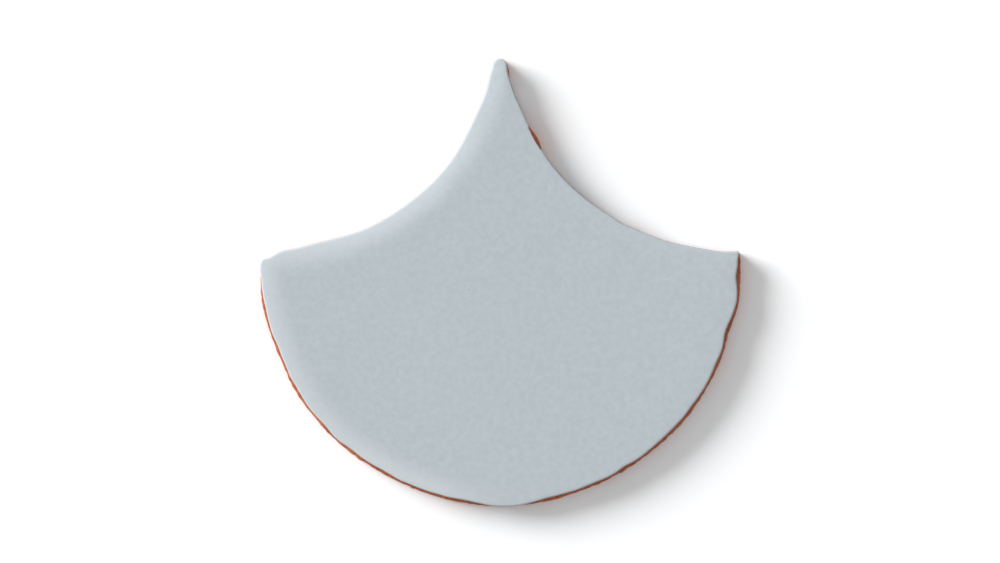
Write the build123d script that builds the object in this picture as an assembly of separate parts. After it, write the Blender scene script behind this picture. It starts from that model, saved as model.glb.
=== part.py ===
"""Ogee ceramic tile: one fired clay tile with a round end and two hollow flanks that run up to a point.

The origin is on the flat back, under the centre of the round end. +Y runs to the point, +Z out of the
glazed face and X across the tile. Lengths are in millimetres and angles in degrees.
"""

import os
from math import atan2, cos, degrees, radians, sin, sqrt, tan

from build123d import *

# Outline
ROUND_RADIUS = 76.2  # of the round end, half of the tile's width
FLANK_RELIEF = 2.8  # a flank's radius is smaller than the round end's by this
CORNER_RISE = 4.2  # from the round end's centre up to the side corners
TIP_NECK = 0.9  # between the circles of the two flanks, where they come closest
TIP_RADIUS = 1.8
CORNER_RADIUS = 1.2

# Edge, from the back up to the face
THICKNESS = 9.5
FOOT_EASE = 0.5  # small bevel round the back
SIDE_DRAFT = 4.0  # the sides lean in towards the face by this angle
ARRIS_RADIUS = 0.9
PILLOW_WIDTH = 8.0  # from the top of the side to where the face is flat
PILLOW_SLOPE = 9.0  # of the face where it meets the arris

CUT_MARGIN = 2.0  # a cutter reaches past the back and the face by this

# Centres that follow from the outline
flank_radius = ROUND_RADIUS - FLANK_RELIEF
flank_x = flank_radius + TIP_NECK / 2
flank_y = CORNER_RISE + flank_radius


def edge_steps():
    """Depth into the clay and height of each point of the edge, from the back to the flat of the face."""
    slope = radians(PILLOW_SLOPE)
    draft = radians(SIDE_DRAFT)
    pillow_radius = ARRIS_RADIUS + (PILLOW_WIDTH - ARRIS_RADIUS * cos(draft)) / sin(slope)
    arris_height = THICKNESS - (pillow_radius - ARRIS_RADIUS) * (1 - cos(slope)) - ARRIS_RADIUS
    shoulder_height = arris_height + ARRIS_RADIUS * sin(draft)
    shoulder = (shoulder_height - FOOT_EASE) * tan(draft)
    arris_depth = shoulder + ARRIS_RADIUS * cos(draft)
    flat = shoulder + PILLOW_WIDTH

    def on_arris(angle):
        return arris_depth - ARRIS_RADIUS * cos(angle), arris_height + ARRIS_RADIUS * sin(angle)

    def on_pillow(angle):
        return flat - pillow_radius * sin(angle), THICKNESS - pillow_radius * (1 - cos(angle))

    arris_end = radians(90) - slope
    return {
        "foot": (FOOT_EASE, 0),
        "side": (0, FOOT_EASE),
        "shoulder": (shoulder, shoulder_height),
        "arris_middle": on_arris((draft + arris_end) / 2),
        "arris_end": on_arris(arris_end),
        "pillow_middle": on_pillow(slope / 2),
        "flat": (flat, THICKNESS),
    }


def edge_lines(place):
    """The edge from the foot to the flat, each of its points put in the XZ plane by place(depth)."""
    at = {name: (place(depth), 0, height) for name, (depth, height) in edge_steps().items()}
    return [
        Line(at["foot"], at["side"]),
        Line(at["side"], at["shoulder"]),
        ThreePointArc(at["shoulder"], at["arris_middle"], at["arris_end"]),
        ThreePointArc(at["arris_end"], at["pillow_middle"], at["flat"]),
    ]


def half_section(reach):
    """Half of a cross section, from an upright middle line out to the tile's edge, reach away from it."""
    steps = edge_steps()
    inner = min(0, reach - steps["flat"][0])
    foot = (reach - steps["foot"][0], 0, 0)
    flat = (reach - steps["flat"][0], 0, THICKNESS)
    outline = [
        Line((inner, 0, 0), foot),
        *edge_lines(lambda depth: reach - depth),
        Line((inner, 0, THICKNESS), (inner, 0, 0)),
    ]
    if inner == 0:
        outline.append(Line(flat, (inner, 0, THICKNESS)))
        return make_face(outline)
    # So near the edge that the face never gets flat, the section stops short at the middle line
    kept = Plane.XZ * Pos(reach / 2, THICKNESS / 2) * Rectangle(reach, 2 * THICKNESS)
    return make_face(outline) & kept


def turned(face, centre, start, arc):
    """The face turned about the upright through centre, from the start angle on."""
    x, y = centre
    return revolve(Pos(x, y) * Rot(0, 0, start) * face, Axis((x, y, 0), (0, 0, 1)), arc)


def blank():
    """The round end with a straight block behind it, which the flanks are cut from."""
    half = half_section(ROUND_RADIUS)
    round_end = turned(half, (0, 0), 180, 180)
    block = extrude(half, flank_y, (0, 1, 0)) + extrude(mirror(half, Plane.YZ), flank_y, (0, 1, 0))
    return round_end + block


def flank_cutter(side):
    """What one flank removes: a disc whose rim is the tile's edge turned inside out."""
    steps = edge_steps()
    foot = (flank_radius + steps["foot"][0], 0, 0)
    flat = (flank_radius + steps["flat"][0], 0, THICKNESS)
    below = -CUT_MARGIN
    above = THICKNESS + CUT_MARGIN
    outline = [
        Polyline((0, 0, above), (0, 0, below), (foot[0], 0, below), foot),
        *edge_lines(lambda depth: flank_radius + depth),
        Polyline(flat, (flat[0], 0, above), (0, 0, above)),
    ]
    return turned(make_face(outline), (side * flank_x, flank_y), 0, 360)


def rounded(tile, centre, radius, start, end, span):
    """The tile with the corner about centre taken off and a rounded one of the same edge put in."""
    upright = Plane.XZ * Pos(span / 2, THICKNESS / 2) * Rectangle(span, THICKNESS + 2 * CUT_MARGIN)
    sharp = turned(upright, centre, start, end - start)
    round_one = turned(half_section(radius), centre, start, end - start)
    return tile - sharp + round_one


def ogee_tile():
    tile = blank() - flank_cutter(1) - flank_cutter(-1)

    # The point, between the normals of the two flanks
    tip_y = flank_y - sqrt((flank_radius + TIP_RADIUS) ** 2 - flank_x**2)
    rise = degrees(atan2(flank_y - tip_y, flank_x))
    tile = rounded(tile, (0, tip_y), TIP_RADIUS, rise, 180 - rise, flank_y - tip_y + TIP_NECK)

    # The two side corners, between the normals of the side and the flank
    corner_x = ROUND_RADIUS - CORNER_RADIUS
    corner_y = flank_y - sqrt((flank_radius + CORNER_RADIUS) ** 2 - (flank_x - corner_x) ** 2)
    lean = degrees(atan2(flank_y - corner_y, flank_x - corner_x))
    span = 2 * CORNER_RADIUS
    tile = rounded(tile, (corner_x, corner_y), CORNER_RADIUS, 0, lean, span)
    tile = rounded(tile, (-corner_x, corner_y), CORNER_RADIUS, 180 - lean, 180, span)
    return tile


os.makedirs("parts", exist_ok=True)
export_step(ogee_tile(), "parts/ogee_tile.step")
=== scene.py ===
"""Ogee ceramic tile, dressed: glaze, clay and the small unevenness of a tile pressed and glazed by hand.

Lengths are in millimetres, in the shaders too. Finished meshes, the floor's size and the camera's place
are in metres. The origin is on the tile's back under the centre of its round end, +Y runs to the point and
+Z out of the glazed face.
"""

import math

import bpy
import numpy as np
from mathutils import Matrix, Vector, noise
from mathutils.geometry import delaunay_2d_cdt


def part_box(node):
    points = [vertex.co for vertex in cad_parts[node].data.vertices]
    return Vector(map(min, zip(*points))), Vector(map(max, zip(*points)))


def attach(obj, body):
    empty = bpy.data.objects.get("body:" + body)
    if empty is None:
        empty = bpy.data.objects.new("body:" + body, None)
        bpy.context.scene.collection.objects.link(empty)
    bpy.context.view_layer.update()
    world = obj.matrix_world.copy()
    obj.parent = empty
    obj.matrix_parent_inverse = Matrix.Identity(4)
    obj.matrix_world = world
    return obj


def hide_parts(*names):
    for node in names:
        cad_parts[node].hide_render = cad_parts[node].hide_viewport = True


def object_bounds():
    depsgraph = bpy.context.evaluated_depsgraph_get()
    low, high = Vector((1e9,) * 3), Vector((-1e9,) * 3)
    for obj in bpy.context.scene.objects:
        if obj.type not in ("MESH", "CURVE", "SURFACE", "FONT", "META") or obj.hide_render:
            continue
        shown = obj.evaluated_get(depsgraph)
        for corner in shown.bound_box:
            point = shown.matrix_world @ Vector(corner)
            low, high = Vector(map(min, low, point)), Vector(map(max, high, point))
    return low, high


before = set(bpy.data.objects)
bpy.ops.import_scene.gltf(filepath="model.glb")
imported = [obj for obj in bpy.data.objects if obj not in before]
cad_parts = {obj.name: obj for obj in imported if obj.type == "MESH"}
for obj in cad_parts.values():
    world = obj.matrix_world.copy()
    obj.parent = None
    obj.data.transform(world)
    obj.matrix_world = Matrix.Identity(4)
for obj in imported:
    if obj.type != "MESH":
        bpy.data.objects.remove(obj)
cad_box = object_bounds()

MM = 0.001
NODE = "ogee_tile"
_, node_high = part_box(NODE)

# Outline, as the part has it but for its corners
ROUND_RADIUS = node_high.x / MM
THICKNESS = node_high.z / MM
FLANK_RELIEF = 2.8
CORNER_RISE = 4.2
TIP_NECK = 0.9
TIP_RADIUS = 1.8
CORNER_RADIUS = 0.8  # a little crisper than the part's

# Edge
FOOT_EASE = 0.5
FOOT_TURNS = (0.35, 0.75)  # where the foot's rounding has its rings, as shares of a quarter turn
ARRIS = 0.4
PILLOW_WIDTH = 9.0
PILLOW_SLOPE = math.tan(math.radians(8.5))
PILLOW_LEFT, PILLOW_RIGHT = 1.25, 0.25  # shares of that slope at the two flanks
ROUND_LEFT, ROUND_RIGHT = 0.75, 0.25  # and along the round end
RIDGE_POWER = 2.5  # how softly the two pillowed flanks meet along the point
FACE_TOP = THICKNESS - 0.1
FACE_SINK = 0.35  # how much lower the face lies on the right

# Sides: bare clay up to the glaze's margin, where it steps in by a ledge that shows from above
LEDGE_ROUND = 1.15
LEDGE_FLANK = 0.1
LEAN = 0.08
MARGIN_ROUND = 4.0
MARGIN_FLANK = 1.3
COAT = 0.24  # of glaze over the clay
BEAD = 0.16  # how far the coat swells just above its margin
BARE_LEAST = 0.7  # the margin keeps this far from the foot and from the shoulder
LIP = 0.12  # half the height over which the coat starts

# Mesh
FAR_UP = 12.0  # a way up from the margin that is glaze for certain, and bare clay when negative
STATION_STEP = 0.42
CORNER_STEP = 0.2
CLAY_RINGS = 9
GLAZE_RINGS = 10
ARRIS_RINGS = 6
EDGE_GRID = 0.75
FACE_GRID = 1.5
BACK_GRID = 4.0
SEED = 7.0

flank_radius = ROUND_RADIUS - FLANK_RELIEF
flank_x = flank_radius + TIP_NECK / 2
flank_y = CORNER_RISE + flank_radius
tip_y = flank_y - math.sqrt((flank_radius + TIP_RADIUS) ** 2 - flank_x**2)
corner_x = ROUND_RADIUS - CORNER_RADIUS
corner_y = flank_y - math.sqrt((flank_radius + CORNER_RADIUS) ** 2 - (flank_x - corner_x) ** 2)

# Unevenness of the outline: x, y, how far along it reaches, how far out it goes
ROUND_SWELL = 0.5  # all along the round end
SWELLS = (
    (1, -76, 12, 0.35),
    (-38, -66, 11, -0.35),
    (24, -72, 9, -0.1),
    (17.5, -74, 3.5, 0.3),
    (59, -48, 8, 0.3),
    (-71, -26, 9, -0.4),
    (-68.5, -33, 4.5, -0.3),
    (-76, -2, 5, -0.3),
    (73, -22.5, 5.5, -0.65),
    (76, -12, 5, 0.4),
    (71, 4.5, 5, -0.45),
    (39, 13, 3.5, -0.35),
    (-56, 8, 10, 0.7),
    (-65, 5, 3.5, -0.25),
    (-71, 4, 3, 0.3),
    (19, 31, 15, -0.25),
    (-18, 31, 13, -0.25),
    (8, 45, 9, 0.5),
    (11.7, 39.9, 3.6, 0.85),
    (-8, 44, 11, 0.5),
    (2.4, 62.0, 2.8, 0.65),
    (-2.8, 59.5, 3.5, 0.35),
)

# The left corner sags: x, y, reach, how far it goes across and up
SAG = (-76, 4, 5.5, 0.5, -2.9)

# Places where the glaze stops short or runs on: x, y, reach, wider ledge, higher margin
CHIP = (11.0, 40.0, 5.8)
BARE_PLACES = (
    (*CHIP, 0.25, 12.0),
    (2.5, 61.5, 2.5, 0.7, 6.4),
    (76, -4, 2.5, 0.5, 2.5),
    (3.5, -77, 7.5, -1.0, -3.5),
    (-76, 0, 6.5, -1.1, -3.0),
)
FLAKE = 2.1  # how far above the margin the chip has taken the glaze off, up over the arris


def arc(centre, radius, start, end, step, hollow=False):
    """Points along an arc and the outward directions there, without its last point."""
    count = max(3, math.ceil(abs(end - start) * radius / step))
    angles = start + (end - start) * np.arange(count) / count
    spokes = np.column_stack((np.cos(angles), np.sin(angles)))
    return np.array(centre) + radius * spokes, -spokes if hollow else spokes


def straight(start, end, outward, step):
    """Points along a straight stretch and the outward directions there, without its last point."""
    start, end = np.array(start), np.array(end)
    count = max(2, math.ceil(np.linalg.norm(end - start) / step))
    points = start + (end - start) * (np.arange(count) / count)[:, None]
    return points, np.tile(outward, (count, 1))


def outline():
    """The nominal outline as stations with outward directions, and 1 where it is the round end.

    The short straight sides count as round end.
    """
    lean = math.atan2(flank_y - corner_y, flank_x - corner_x)
    rise = math.atan2(flank_y - tip_y, flank_x)
    side, top = ROUND_RADIUS, corner_y
    stretches = (
        (arc((0, 0), ROUND_RADIUS, math.pi, 2 * math.pi, STATION_STEP), 1),
        (straight((side, 0), (side, top), (1.0, 0.0), STATION_STEP), 1),
        (arc((corner_x, corner_y), CORNER_RADIUS, 0, lean, CORNER_STEP), 0),
        (arc((flank_x, flank_y), flank_radius, math.pi + lean, math.pi + rise, STATION_STEP, True), 0),
        (arc((0, tip_y), TIP_RADIUS, rise, math.pi - rise, CORNER_STEP), 0),
        (arc((-flank_x, flank_y), flank_radius, -rise, -lean, STATION_STEP, True), 0),
        (arc((-corner_x, corner_y), CORNER_RADIUS, math.pi - lean, math.pi, CORNER_STEP), 0),
        (straight((-side, top), (-side, 0), (-1.0, 0.0), STATION_STEP), 1),
    )
    points = np.vstack([stretch[0] for stretch, _ in stretches])
    outward = np.vstack([stretch[1] for stretch, _ in stretches])
    round_end = np.concatenate([np.full(len(stretch[0]), float(kind)) for stretch, kind in stretches])
    return points, outward, round_end


def nearness(points, x, y, reach):
    """1 at (x, y), fading smoothly to 0 around it."""
    return np.exp(-((points[:, 0] - x) ** 2 + (points[:, 1] - y) ** 2) / reach**2)


def ripple(points, size, layer):
    """Smooth noise from about -1 to 1, with bumps of the given size. Points may be flat or solid."""
    solid = np.zeros((len(points), 3))
    solid[:, : points.shape[1]] = points / size
    solid[:, 2] += SEED * layer
    return np.array([noise.noise(Vector(p)) for p in solid]) * 1.5


def smooth(value, low, high):
    """An S curve from 0 at low to 1 at high, whichever of them is greater, and level past them."""
    t = np.clip((value - low) / (high - low), 0, 1)
    return t * t * (3 - 2 * t)


def pillow_drop(depth):
    """How far the face has fallen at a depth in from the edge: its slope fades out over the pillow."""
    t = np.clip(depth / PILLOW_WIDTH, -1, 1)
    inside = 0.5 - t + t**3 - t**4 / 2
    return PILLOW_SLOPE * PILLOW_WIDTH * np.where(t < 0, 0.5 - t, inside)


def face_height(points):
    """Height of the face over each point, without the arris. It is pillowed most on the left."""
    x, y = points[:, 0], points[:, 1]
    to_round = ROUND_RADIUS - np.where(y < 0, np.hypot(x, y), np.abs(x))
    round_share = ROUND_RIGHT + (ROUND_LEFT - ROUND_RIGHT) * smooth(-x, -20, 30)
    drops = [round_share * pillow_drop(to_round)]
    for side, share in ((1, PILLOW_RIGHT), (-1, PILLOW_LEFT)):
        to_flank = np.hypot(x - side * flank_x, y - flank_y) - flank_radius
        drops.append(share * pillow_drop(to_flank))
    drop = sum(some**RIDGE_POWER for some in drops) ** (1 / RIDGE_POWER)
    waves = 0.04 * ripple(points, 38, 1) + 0.03 * ripple(points, 11, 2)
    return FACE_TOP - drop - FACE_SINK * smooth(x, -20, 60) + waves


def paleness_and_highlight(points, depth):
    """How much paler the glaze is at a depth in from the edge, from 0 up to about 1: a little all round
    where the glaze thins, and a painted highlight strongest on the left and lower left.
    """
    # The painted highlight: strongest on the left and at the lower left
    leftward = smooth(-points[:, 0], -5, 25)
    below = nearness(points, -30, -68, 26)
    return (0.1 + 0.55 * leftward + 0.5 * below) * smooth(-depth, -8, 0)


class Skin:
    """One closed mesh in the making: vertices, faces, and two values that the shader needs at each vertex.

    The first is the way up from the glaze's margin, below 0 on bare clay, and the second tells how much
    paler
    the glaze is: a little where it thins out, and more as a painted highlight along the left edges.
    """

    def __init__(self):
        self.points, self.margins, self.thins, self.faces = [], [], [], []
        self.count = 0

    def add(self, points, margin, thin):
        """Adds vertices and returns their numbers."""
        self.points.append(points)
        self.margins.append(np.broadcast_to(margin, len(points)))
        self.thins.append(np.broadcast_to(thin, len(points)))
        self.count += len(points)
        return np.arange(self.count - len(points), self.count)

    def bridge(self, lower, upper):
        """Joins two closed rings of the same length."""
        for a, b, c, d in zip(lower, np.roll(lower, -1), np.roll(upper, -1), upper):
            self.faces.append((int(a), int(b), int(c), int(d)))

    def fill(self, ring, ring_points, inner, facing_up, margin, thin):
        """Closes a ring with triangles that also use the inner points."""
        flat = np.vstack((ring_points[:, :2], inner[:, :2]))
        loop = [(i, (i + 1) % len(ring)) for i in range(len(ring))]
        made = delaunay_2d_cdt([Vector(p) for p in flat], loop, [], 1, 1e-7)
        numbers = np.concatenate((ring, self.add(inner, margin, thin)))
        for triangle in made[2]:
            corners = [int(numbers[made[3][i][0]]) for i in triangle]
            self.faces.append(tuple(corners if facing_up else corners[::-1]))

    def mesh(self, name):
        """The mesh in metres, smooth shaded, with both values as point attributes."""
        mesh = bpy.data.meshes.new(name)
        mesh.from_pydata((np.vstack(self.points) * MM).tolist(), [], self.faces)
        for attribute, values in (("margin", self.margins), ("thin", self.thins)):
            layer = mesh.attributes.new(attribute, "FLOAT", "POINT")
            layer.data.foreach_set("value", np.concatenate(values).astype(np.float32))
        mesh.shade_smooth()
        mesh.validate()
        return mesh


def grid_inside(spacing, low_depth, high_depth, depth_at):
    """Points of a triangular grid whose depth in from the outline lies in a range."""
    rows = np.arange(-ROUND_RADIUS, ROUND_RADIUS, spacing * math.sqrt(3) / 2)
    columns = np.arange(-ROUND_RADIUS, ROUND_RADIUS, spacing)
    x = (columns[None, :] + (np.arange(len(rows)) % 2)[:, None] * spacing / 2).ravel()
    points = np.column_stack((x, np.repeat(rows, len(columns))))
    depth = depth_at(points)
    return points[(depth > low_depth) & (depth < high_depth)]


def depth_to(ring_points):
    """A function that gives each point's distance in from a ring, negative outside it."""

    def depth_at(points):
        result = np.empty(len(points))
        for start in range(0, len(points), 2000):
            some = points[start : start + 2000]
            gaps = some[:, None, :] - ring_points[None, :, :2]
            result[start : start + 2000] = np.sqrt((gaps**2).sum(2).min(1))
        corners = np.roll(ring_points[:, :2], -1, axis=0)
        inside = np.zeros(len(points), bool)
        for (x0, y0), (x1, y1) in zip(ring_points[:, :2], corners):
            if y0 != y1:
                crosses = (points[:, 1] >= min(y0, y1)) & (points[:, 1] < max(y0, y1))
                inside ^= crosses & (points[:, 0] < x0 + (points[:, 1] - y0) * (x1 - x0) / (y1 - y0))
        return np.where(inside, result, -result)

    return depth_at


def around(values, width):
    """A running mean round the closed outline."""
    kernel = np.ones(width) / width
    wrapped = np.concatenate((values[-width:], values, values[:width]))
    return np.convolve(wrapped, kernel, "same")[width:-width]


class Rim:
    """The tile's rim: at each station of the outline, where it runs and what its side is made of."""

    def __init__(self):
        nominal, self.outward, round_end = outline()
        self.nominal = nominal
        round_end = around(round_end, 9)
        bare = [(nearness(nominal, *place), wider, higher) for *place, wider, higher in BARE_PLACES]
        swell = sum(out * nearness(nominal, x, y, reach) for x, y, reach, out in SWELLS)
        swell = swell + 0.1 * ripple(nominal, 17, 7) + 0.03 * ripple(nominal, 3.5, 8)
        swell = swell + ROUND_SWELL * round_end
        sag = nearness(nominal, *SAG[:3])[:, None] * SAG[3:]
        self.stations = nominal + self.outward * swell[:, None] + sag

        ledge = LEDGE_FLANK + (LEDGE_ROUND - LEDGE_FLANK) * round_end
        ledge = ledge + sum(n * wider for n, wider, _ in bare)
        self.ledge = np.maximum(ledge + 0.3 * round_end * ripple(nominal, 7, 9), 0.05)
        self.burr = (0.08 + 0.12 * round_end) * ripple(nominal, 1.9, 3)

        # The foot's rounding and the arris are tighter at the point and at the side corners
        self.tight = 1 - 0.2 * nearness(nominal, 0, tip_y, 4)
        for side in (1, -1):
            self.tight = self.tight - 0.35 * nearness(nominal, side * corner_x, corner_y, 2.2)
        chipped = nearness(nominal, *CHIP) ** 2
        self.arris = ARRIS * (self.tight + chipped)

        # The shoulder hangs from the face, whose height there sets where the arris begins
        shoulder_inset = self.ledge + LEAN - COAT
        self.shoulder = face_height(self.placed(shoulder_inset + self.arris)) - self.arris
        margin = MARGIN_FLANK + (MARGIN_ROUND - MARGIN_FLANK) * round_end
        margin = margin + sum(n * higher for n, _, higher in bare)
        for size, swing, layer in ((13, 1.0, 4), (4.5, 0.55, 5), (1.6, 0.2, 6)):
            margin = margin + swing * ripple(nominal, size, layer)
        self.margin = np.clip(margin, BARE_LEAST, self.shoulder - BARE_LEAST)
        self.glaze_start = self.margin + FLAKE * chipped
        # Paleness at the rim: thin glaze all round, and a painted highlight on the left
        self.thin = paleness_and_highlight(nominal, np.zeros(len(nominal)))

    def placed(self, inset, height=0.0):
        """A ring of points, in from the outline by an inset and at a height."""
        count = len(self.stations)
        flat = self.stations - self.outward * np.broadcast_to(inset, count)[:, None]
        return np.column_stack((flat, np.broadcast_to(height, count)))

    def side_inset(self, height):
        """How far the side has come in from the outline at a height, clay or glaze."""
        solid = np.column_stack((self.nominal, height))
        margin = self.margin
        above = height - self.glaze_start
        clay = self.ledge * smooth(height, margin - 1.5, margin + 0.25) + LEAN * height / self.shoulder
        clay = clay - self.burr * smooth(height, 0, 1.5) * smooth(height, margin + 0.3, margin - 0.8)
        rough = 0.08 * ripple(solid, 1.3, 12) + 0.05 * ripple(solid * (0.3, 0.3, 1.6), 1.0, 13)
        bead = BEAD * np.exp(-(((above - 0.4) / 0.4) ** 2)) + 0.02 * ripple(solid, 2.5, 14)
        glazed = smooth(above, -LIP, LIP)
        return clay + (1 - glazed) * rough - glazed * (COAT + bead)


def add_side(skin, rim):
    """Adds the foot and the side. Returns the foot's ring and points, and the shoulder's ring and inset."""
    uneven = 0.1 * ripple(rim.nominal, 2.2, 10) + 0.06 * ripple(rim.nominal, 0.9, 11)
    foot_inset = rim.tight * (FOOT_EASE + uneven)
    foot_points = rim.placed(foot_inset)
    foot = skin.add(foot_points, -rim.glaze_start, rim.thin)
    level = np.ones(len(rim.nominal))
    heights = [FOOT_EASE * (1 - math.cos(turn * math.pi / 2)) * level for turn in FOOT_TURNS]
    insets = [foot_inset * (1 - math.sin(turn * math.pi / 2)) for turn in FOOT_TURNS]
    lip_low, lip_high = rim.margin - LIP, rim.margin + LIP
    for step in range(CLAY_RINGS):
        heights.append(FOOT_EASE + (lip_low - FOOT_EASE) * step / (CLAY_RINGS - 1))
    heights.append(rim.margin)
    for step in range(GLAZE_RINGS):
        heights.append(lip_high + (rim.shoulder - lip_high) * (step / (GLAZE_RINGS - 1)) ** 1.4)
    insets += [rim.side_inset(height) for height in heights[len(insets) :]]
    ring = foot
    for inset, height in zip(insets, heights):
        previous = ring
        ring = skin.add(rim.placed(inset, height), height - rim.glaze_start, rim.thin)
        skin.bridge(previous, ring)
    return foot, foot_points, ring, insets[-1]


def add_arris(skin, rim, ring, start_inset):
    """Adds the rounding from the side to the face. Returns its last ring and that ring's points."""
    for step in range(1, ARRIS_RINGS + 1):
        turn = step / ARRIS_RINGS * math.pi / 2
        points = rim.placed(start_inset + rim.arris * (1 - math.cos(turn)))
        points[:, 2] = face_height(points) - rim.arris * (1 - math.sin(turn))
        previous = ring
        ring = skin.add(points, rim.shoulder + rim.arris * turn - rim.glaze_start, rim.thin)
        skin.bridge(previous, ring)
    return ring, points


def add_face(skin, ring, ring_points):
    """Fills the face, with small triangles over the pillow and larger ones inside it."""
    depth_at = depth_to(ring_points)
    near = grid_inside(EDGE_GRID, EDGE_GRID * 0.6, PILLOW_WIDTH, depth_at)
    far = grid_inside(FACE_GRID, PILLOW_WIDTH + FACE_GRID * 0.3, ROUND_RADIUS, depth_at)
    flat = np.vstack((near, far))
    inner = np.column_stack((flat, face_height(flat)))
    skin.fill(ring, ring_points, inner, True, FAR_UP, paleness_and_highlight(flat, depth_at(flat)))


def add_back(skin, ring, ring_points):
    """Fills the back, which is hollow by a hair."""
    flat = grid_inside(BACK_GRID, BACK_GRID * 0.5, ROUND_RADIUS, depth_to(ring_points))
    hollow = 0.05 * (1 + np.clip(ripple(flat, 14, 15), -1, 1))
    skin.fill(ring, ring_points, np.column_stack((flat, hollow)), False, -FAR_UP, 0.0)


def tile_mesh():
    """The whole tile as one closed skin: foot, side, arris, face and back."""
    rim = Rim()
    skin = Skin()
    foot, foot_points, shoulder, shoulder_inset = add_side(skin, rim)
    top, top_points = add_arris(skin, rim, shoulder, shoulder_inset)
    add_face(skin, top, top_points)
    add_back(skin, foot, foot_points)
    return skin.mesh("tile")


class Shader:
    """Short calls that add nodes to one material. Most of them return an output to feed to the next."""

    def __init__(self, name):
        self.material = bpy.data.materials.new(name)
        self.material.use_nodes = True
        self.tree = self.material.node_tree
        self.surface = self.tree.nodes["Principled BSDF"]

    def feed(self, socket, value):
        if isinstance(value, bpy.types.NodeSocket):
            self.tree.links.new(value, socket)
        else:
            socket.default_value = value

    def node(self, kind, **settings):
        made = self.tree.nodes.new(kind)
        for key, value in settings.items():
            setattr(made, key, value)
        return made

    def maths(self, operation, first, second=0.0):
        made = self.node("ShaderNodeMath", operation=operation)
        self.feed(made.inputs[0], first)
        self.feed(made.inputs[1], second)
        return made.outputs[0]

    def ramp(self, value, low, high, to_low=0.0, to_high=1.0):
        """An S curve from to_low to to_high as the value goes from low to high."""
        made = self.node("ShaderNodeMapRange", interpolation_type="SMOOTHSTEP")
        self.feed(made.inputs["Value"], value)
        self.feed(made.inputs["From Min"], low)
        self.feed(made.inputs["From Max"], high)
        self.feed(made.inputs["To Min"], to_low)
        self.feed(made.inputs["To Max"], to_high)
        return made.outputs["Result"]

    def mix(self, factor, first, second):
        """One colour where the factor is 0 and another where it is 1."""
        made = self.node("ShaderNodeMix", data_type="RGBA")
        for number, given in ((0, factor), (6, first), (7, second)):
            self.feed(made.inputs[number], given)
        return made.outputs[2]

    def blend(self, factor, first, second):
        """One number where the factor is 0 and another where it is 1."""
        made = self.node("ShaderNodeMix", data_type="FLOAT")
        for number, given in ((0, factor), (2, first), (3, second)):
            self.feed(made.inputs[number], given)
        return made.outputs[0]

    def where(self):
        """The place on the tile, in millimetres."""
        place = self.node("ShaderNodeTexCoord").outputs["Object"]
        made = self.node("ShaderNodeMapping")
        made.inputs["Scale"].default_value = (1 / MM,) * 3
        self.feed(made.inputs["Vector"], place)
        return made.outputs["Vector"]

    def noise(self, place, size, detail=2.0, roughness=0.5):
        """Noise from 0 to 1 with bumps of about the given size in millimetres."""
        made = self.node("ShaderNodeTexNoise")
        self.feed(made.inputs["Vector"], place)
        self.feed(made.inputs["Scale"], 1 / size)
        self.feed(made.inputs["Detail"], detail)
        self.feed(made.inputs["Roughness"], roughness)
        return made.outputs["Fac"]

    def dots(self, place, size):
        """Distance from the nearest of many scattered points, in units of their spacing."""
        made = self.node("ShaderNodeTexVoronoi")
        self.feed(made.inputs["Vector"], place)
        self.feed(made.inputs["Scale"], 1 / size)
        return made.outputs["Distance"]

    def bump(self, height, depth):
        """Relief as deep as depth, in millimetres."""
        made = self.node("ShaderNodeBump")
        made.inputs["Strength"].default_value = 1.0
        made.inputs["Distance"].default_value = depth * MM
        self.feed(made.inputs["Height"], height)
        return made.outputs["Normal"]


# Colours
GLAZE = (0.475, 0.529, 0.562, 1)
GLAZE_PALE = (0.497, 0.551, 0.585, 1)
GLAZE_DEEP = (0.420, 0.473, 0.507, 1)
# Paler glaze where it thins at the edges, also the colour of the painted highlight along the left edges
GLAZE_THIN_AND_LIT = (0.567, 0.617, 0.643, 1)
CLAY = (0.430, 0.105, 0.042, 1)
CLAY_PALE = (0.540, 0.165, 0.070, 1)
CLAY_DEEP = (0.230, 0.050, 0.022, 1)
CLAY_DUST = (0.520, 0.290, 0.190, 1)
# Scorched clay under the glaze's edge, darkened further as painted shade
TOAST_AND_SHADE = (0.170, 0.050, 0.026, 1)
RELIEF = 0.035  # depth of the peel and the grain, for a height of 1


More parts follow.
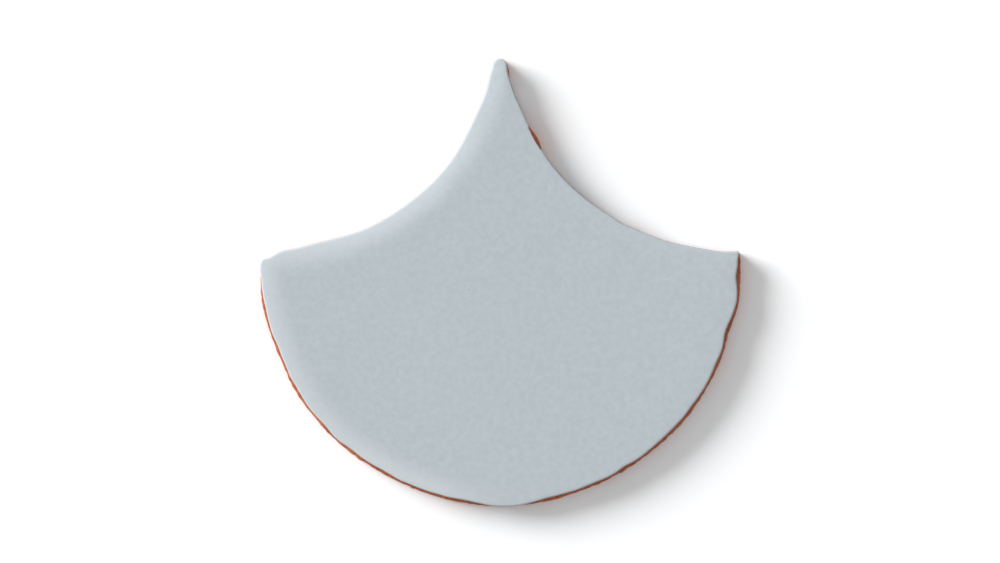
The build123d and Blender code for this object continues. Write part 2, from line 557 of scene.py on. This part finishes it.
def glaze_look(shade, place, edge, thin):
    """The glaze's colour, roughness and relief: clouds, drifts, mottle, grain, a paler rim of thin glaze
    and painted highlight, and a few pinholes.
    """
    clouds = shade.ramp(shade.noise(place, 24, 2), 0.3, 0.7)
    drifts = shade.ramp(shade.noise(place, 6.5, 2), 0.3, 0.7)
    mottle = shade.ramp(shade.noise(place, 1.9, 3), 0.3, 0.7)
    grain = shade.ramp(shade.noise(place, 0.32, 2), 0.25, 0.75)
    colour = shade.mix(shade.maths("MULTIPLY", clouds, 0.16), GLAZE, GLAZE_PALE)
    colour = shade.mix(shade.maths("MULTIPLY", drifts, 0.55), colour, GLAZE_PALE)
    colour = shade.mix(shade.maths("MULTIPLY", mottle, 0.6), colour, GLAZE_DEEP)
    colour = shade.mix(shade.maths("MULTIPLY", grain, 0.30), colour, GLAZE_PALE)
    # Paler where the glaze thins, and a painted highlight along the left and lower left edges
    colour = shade.mix(thin, colour, GLAZE_THIN_AND_LIT)
    pin = shade.ramp(shade.dots(place, 3.4), 0.035, 0.075, 1, 0)
    chosen = shade.ramp(shade.noise(place, 5.5, 1), 0.6, 0.66)
    pinholes = shade.maths("MULTIPLY", pin, chosen)
    colour = shade.mix(shade.maths("MULTIPLY", pinholes, 0.45), colour, CLAY_DEEP)
    colour = shade.mix(shade.ramp(edge, 0.05, 0.5, 0.55, 0), colour, CLAY_DUST)

    peel = shade.maths("MULTIPLY", shade.noise(place, 2.4, 2), 1.4)
    peel = shade.maths("ADD", peel, shade.maths("MULTIPLY", grain, 0.06))
    peel = shade.maths("SUBTRACT", peel, shade.maths("MULTIPLY", pinholes, 0.8))
    return colour, shade.ramp(mottle, 0, 1, 0.62, 0.70), peel


def clay_look(shade, place, edge):
    """The clay's colour, roughness and relief: warm patches, grog, and scorch with painted shade under the
    glaze.
    """
    patches = shade.ramp(shade.noise(place, 7, 3), 0.3, 0.7)
    sand = shade.noise(place, 0.55, 3, 0.65)
    colour = shade.mix(patches, CLAY, CLAY_PALE)
    colour = shade.mix(shade.ramp(sand, 0.55, 0.75), colour, CLAY_DEEP)
    colour = shade.mix(shade.ramp(shade.noise(place, 0.8, 2), 0.62, 0.70), colour, CLAY_DUST)
    # Under the glaze's edge the clay is darker: partly scorched clay, partly painted shade
    fitful = shade.ramp(shade.noise(place, 3.5, 2), 0.35, 0.65, 0.25, 0.9)
    scorch_and_shade = shade.maths("MULTIPLY", shade.ramp(edge, -1.1, -0.02), fitful)
    colour = shade.mix(scorch_and_shade, colour, TOAST_AND_SHADE)

    pores = shade.ramp(shade.dots(place, 1.1), 0.10, 0.30)
    coarse = shade.maths("ADD", shade.maths("MULTIPLY", sand, 3.0), shade.maths("MULTIPLY", pores, 1.4))
    return colour, shade.ramp(sand, 0.3, 0.7, 0.82, 0.95), coarse


def fired_material():
    """Satin glaze over red clay. The margin attribute says which of them shows."""
    shade = Shader("glazed_clay")
    place = shade.where()
    margin = shade.node("ShaderNodeAttribute", attribute_name="margin").outputs["Fac"]
    # How much paler the glaze is: thin glaze, and a painted highlight on the left edges
    thin = shade.node("ShaderNodeAttribute", attribute_name="thin").outputs["Fac"]
    ragged = shade.maths("MULTIPLY", shade.maths("SUBTRACT", shade.noise(place, 0.5, 3), 0.5), 0.6)
    edge = shade.maths("ADD", margin, ragged)
    glazed = shade.ramp(edge, -0.04, 0.05)
    glaze_colour, glaze_rough, peel = glaze_look(shade, place, edge, thin)
    clay_colour, clay_rough, coarse = clay_look(shade, place, edge)

    surface = shade.surface
    shade.feed(surface.inputs["Base Color"], shade.mix(glazed, clay_colour, glaze_colour))
    shade.feed(surface.inputs["Roughness"], shade.blend(glazed, clay_rough, glaze_rough))
    shade.feed(surface.inputs["Normal"], shade.bump(shade.blend(glazed, coarse, peel), RELIEF))
    surface.inputs["IOR"].default_value = 1.5
    surface.inputs["Specular IOR Level"].default_value = 0.30
    return shade.material


def make_tile():
    """The tile in one piece, in place of the part's node."""
    tile = bpy.data.objects.new("tile", tile_mesh())
    bpy.context.scene.collection.objects.link(tile)
    tile.data.materials.append(fired_material())
    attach(tile, "root")
    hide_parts(NODE)
    return tile


FLOOR_SIZE = 12.0  # metres
FLOOR_BOUNCE = 0.55  # what the floor gives back to the tile
FLOOR_SHOWN = (1.08, 1.09, 1.10)  # what the camera sees, so that the open floor is white
FLOOR_DROP = 0.02


def floor_material():
    """White paper, which the camera sees paler than the light that it gives back."""
    shade = Shader("white_floor")
    rays = shade.node("ShaderNodeLightPath").outputs
    seen = shade.maths("MAXIMUM", rays["Is Camera Ray"], rays["Is Glossy Ray"])
    seen = shade.maths("MAXIMUM", seen, rays["Is Transmission Ray"])
    white = shade.mix(seen, (FLOOR_BOUNCE,) * 3 + (1,), (*FLOOR_SHOWN, 1))
    paper = shade.node("ShaderNodeBsdfDiffuse")
    shade.feed(paper.inputs["Color"], white)
    shade.tree.nodes.remove(shade.surface)
    shade.feed(shade.tree.nodes["Material Output"].inputs["Surface"], paper.outputs[0])
    return shade.material


def make_floor():
    """A level floor just under the tile's back."""
    mesh = bpy.data.meshes.new("floor")
    half = FLOOR_SIZE / 2
    corners = [(-half, -half, 0), (half, -half, 0), (half, half, 0), (-half, half, 0)]
    mesh.from_pydata(corners, [], [(0, 1, 2, 3)])
    floor = bpy.data.objects.new("floor", mesh)
    floor.location.z = -FLOOR_DROP * MM
    bpy.context.scene.collection.objects.link(floor)
    mesh.materials.append(floor_material())


# The key light and the sky together make a level white surface render white
KEY_AZIMUTH = math.radians(152)  # of the key light, from +X round to +Y
KEY_ELEVATION = math.radians(26)
KEY_SPREAD = math.radians(34)
KEY_SHARE = 0.5  # of the light on the face that comes from the key light
SKY_SHARE = 1 - KEY_SHARE


def add_key_light():
    """A broad soft light from the upper left."""
    lamp = bpy.data.lights.new("key", "SUN")
    lamp.energy = KEY_SHARE * math.pi / math.sin(KEY_ELEVATION)
    lamp.angle = KEY_SPREAD
    key = bpy.data.objects.new("key", lamp)
    bpy.context.scene.collection.objects.link(key)
    flat = math.cos(KEY_ELEVATION)
    towards = Vector((flat * math.cos(KEY_AZIMUTH), flat * math.sin(KEY_AZIMUTH), math.sin(KEY_ELEVATION)))
    key.rotation_mode = "QUATERNION"
    key.rotation_quaternion = towards.to_track_quat("Z", "Y")
    key.location = towards


def add_sky():
    """An even sky, which the camera sees white behind the tile."""
    world = bpy.data.worlds.new("sky")
    world.use_nodes = True
    bpy.context.scene.world = world
    tree = world.node_tree
    rays = tree.nodes.new("ShaderNodeLightPath").outputs
    seen = rays["Is Camera Ray"]
    for name in ("Is Glossy Ray", "Is Transmission Ray"):
        either = tree.nodes.new("ShaderNodeMath")
        either.operation = "MAXIMUM"
        tree.links.new(seen, either.inputs[0])
        tree.links.new(rays[name], either.inputs[1])
        seen = either.outputs[0]
    level = tree.nodes.new("ShaderNodeMapRange")
    tree.links.new(seen, level.inputs["Value"])
    level.inputs["To Min"].default_value = SKY_SHARE
    level.inputs["To Max"].default_value = 1.0
    tree.nodes["Background"].inputs["Color"].default_value = (1, 1, 1, 1)
    tree.links.new(level.outputs["Result"], tree.nodes["Background"].inputs["Strength"])


LENS = 400.0
SENSOR = 36.0
FRAME_WIDTH, FRAME_HEIGHT = 1000, 563
TILE_SHARE = 0.79  # of the picture's height


def aim_camera():
    """Straight down on the tile from far away, with its point up in the picture."""
    low, high = cad_box
    shown_height = (high.y - low.y) / TILE_SHARE
    shown_width = shown_height * FRAME_WIDTH / FRAME_HEIGHT
    data = bpy.data.cameras.new("camera")
    data.lens = LENS
    data.sensor_width = SENSOR
    camera = bpy.data.objects.new("camera", data)
    bpy.context.scene.collection.objects.link(camera)
    middle = (low + high) / 2
    camera.location = (middle.x, middle.y, high.z + shown_width * LENS / SENSOR)
    data.clip_start, data.clip_end = 0.1, 100
    bpy.context.scene.camera = camera


make_tile()
make_floor()
add_key_light()
add_sky()
aim_camera()
bpy.context.scene.view_settings.view_transform = "Standard"
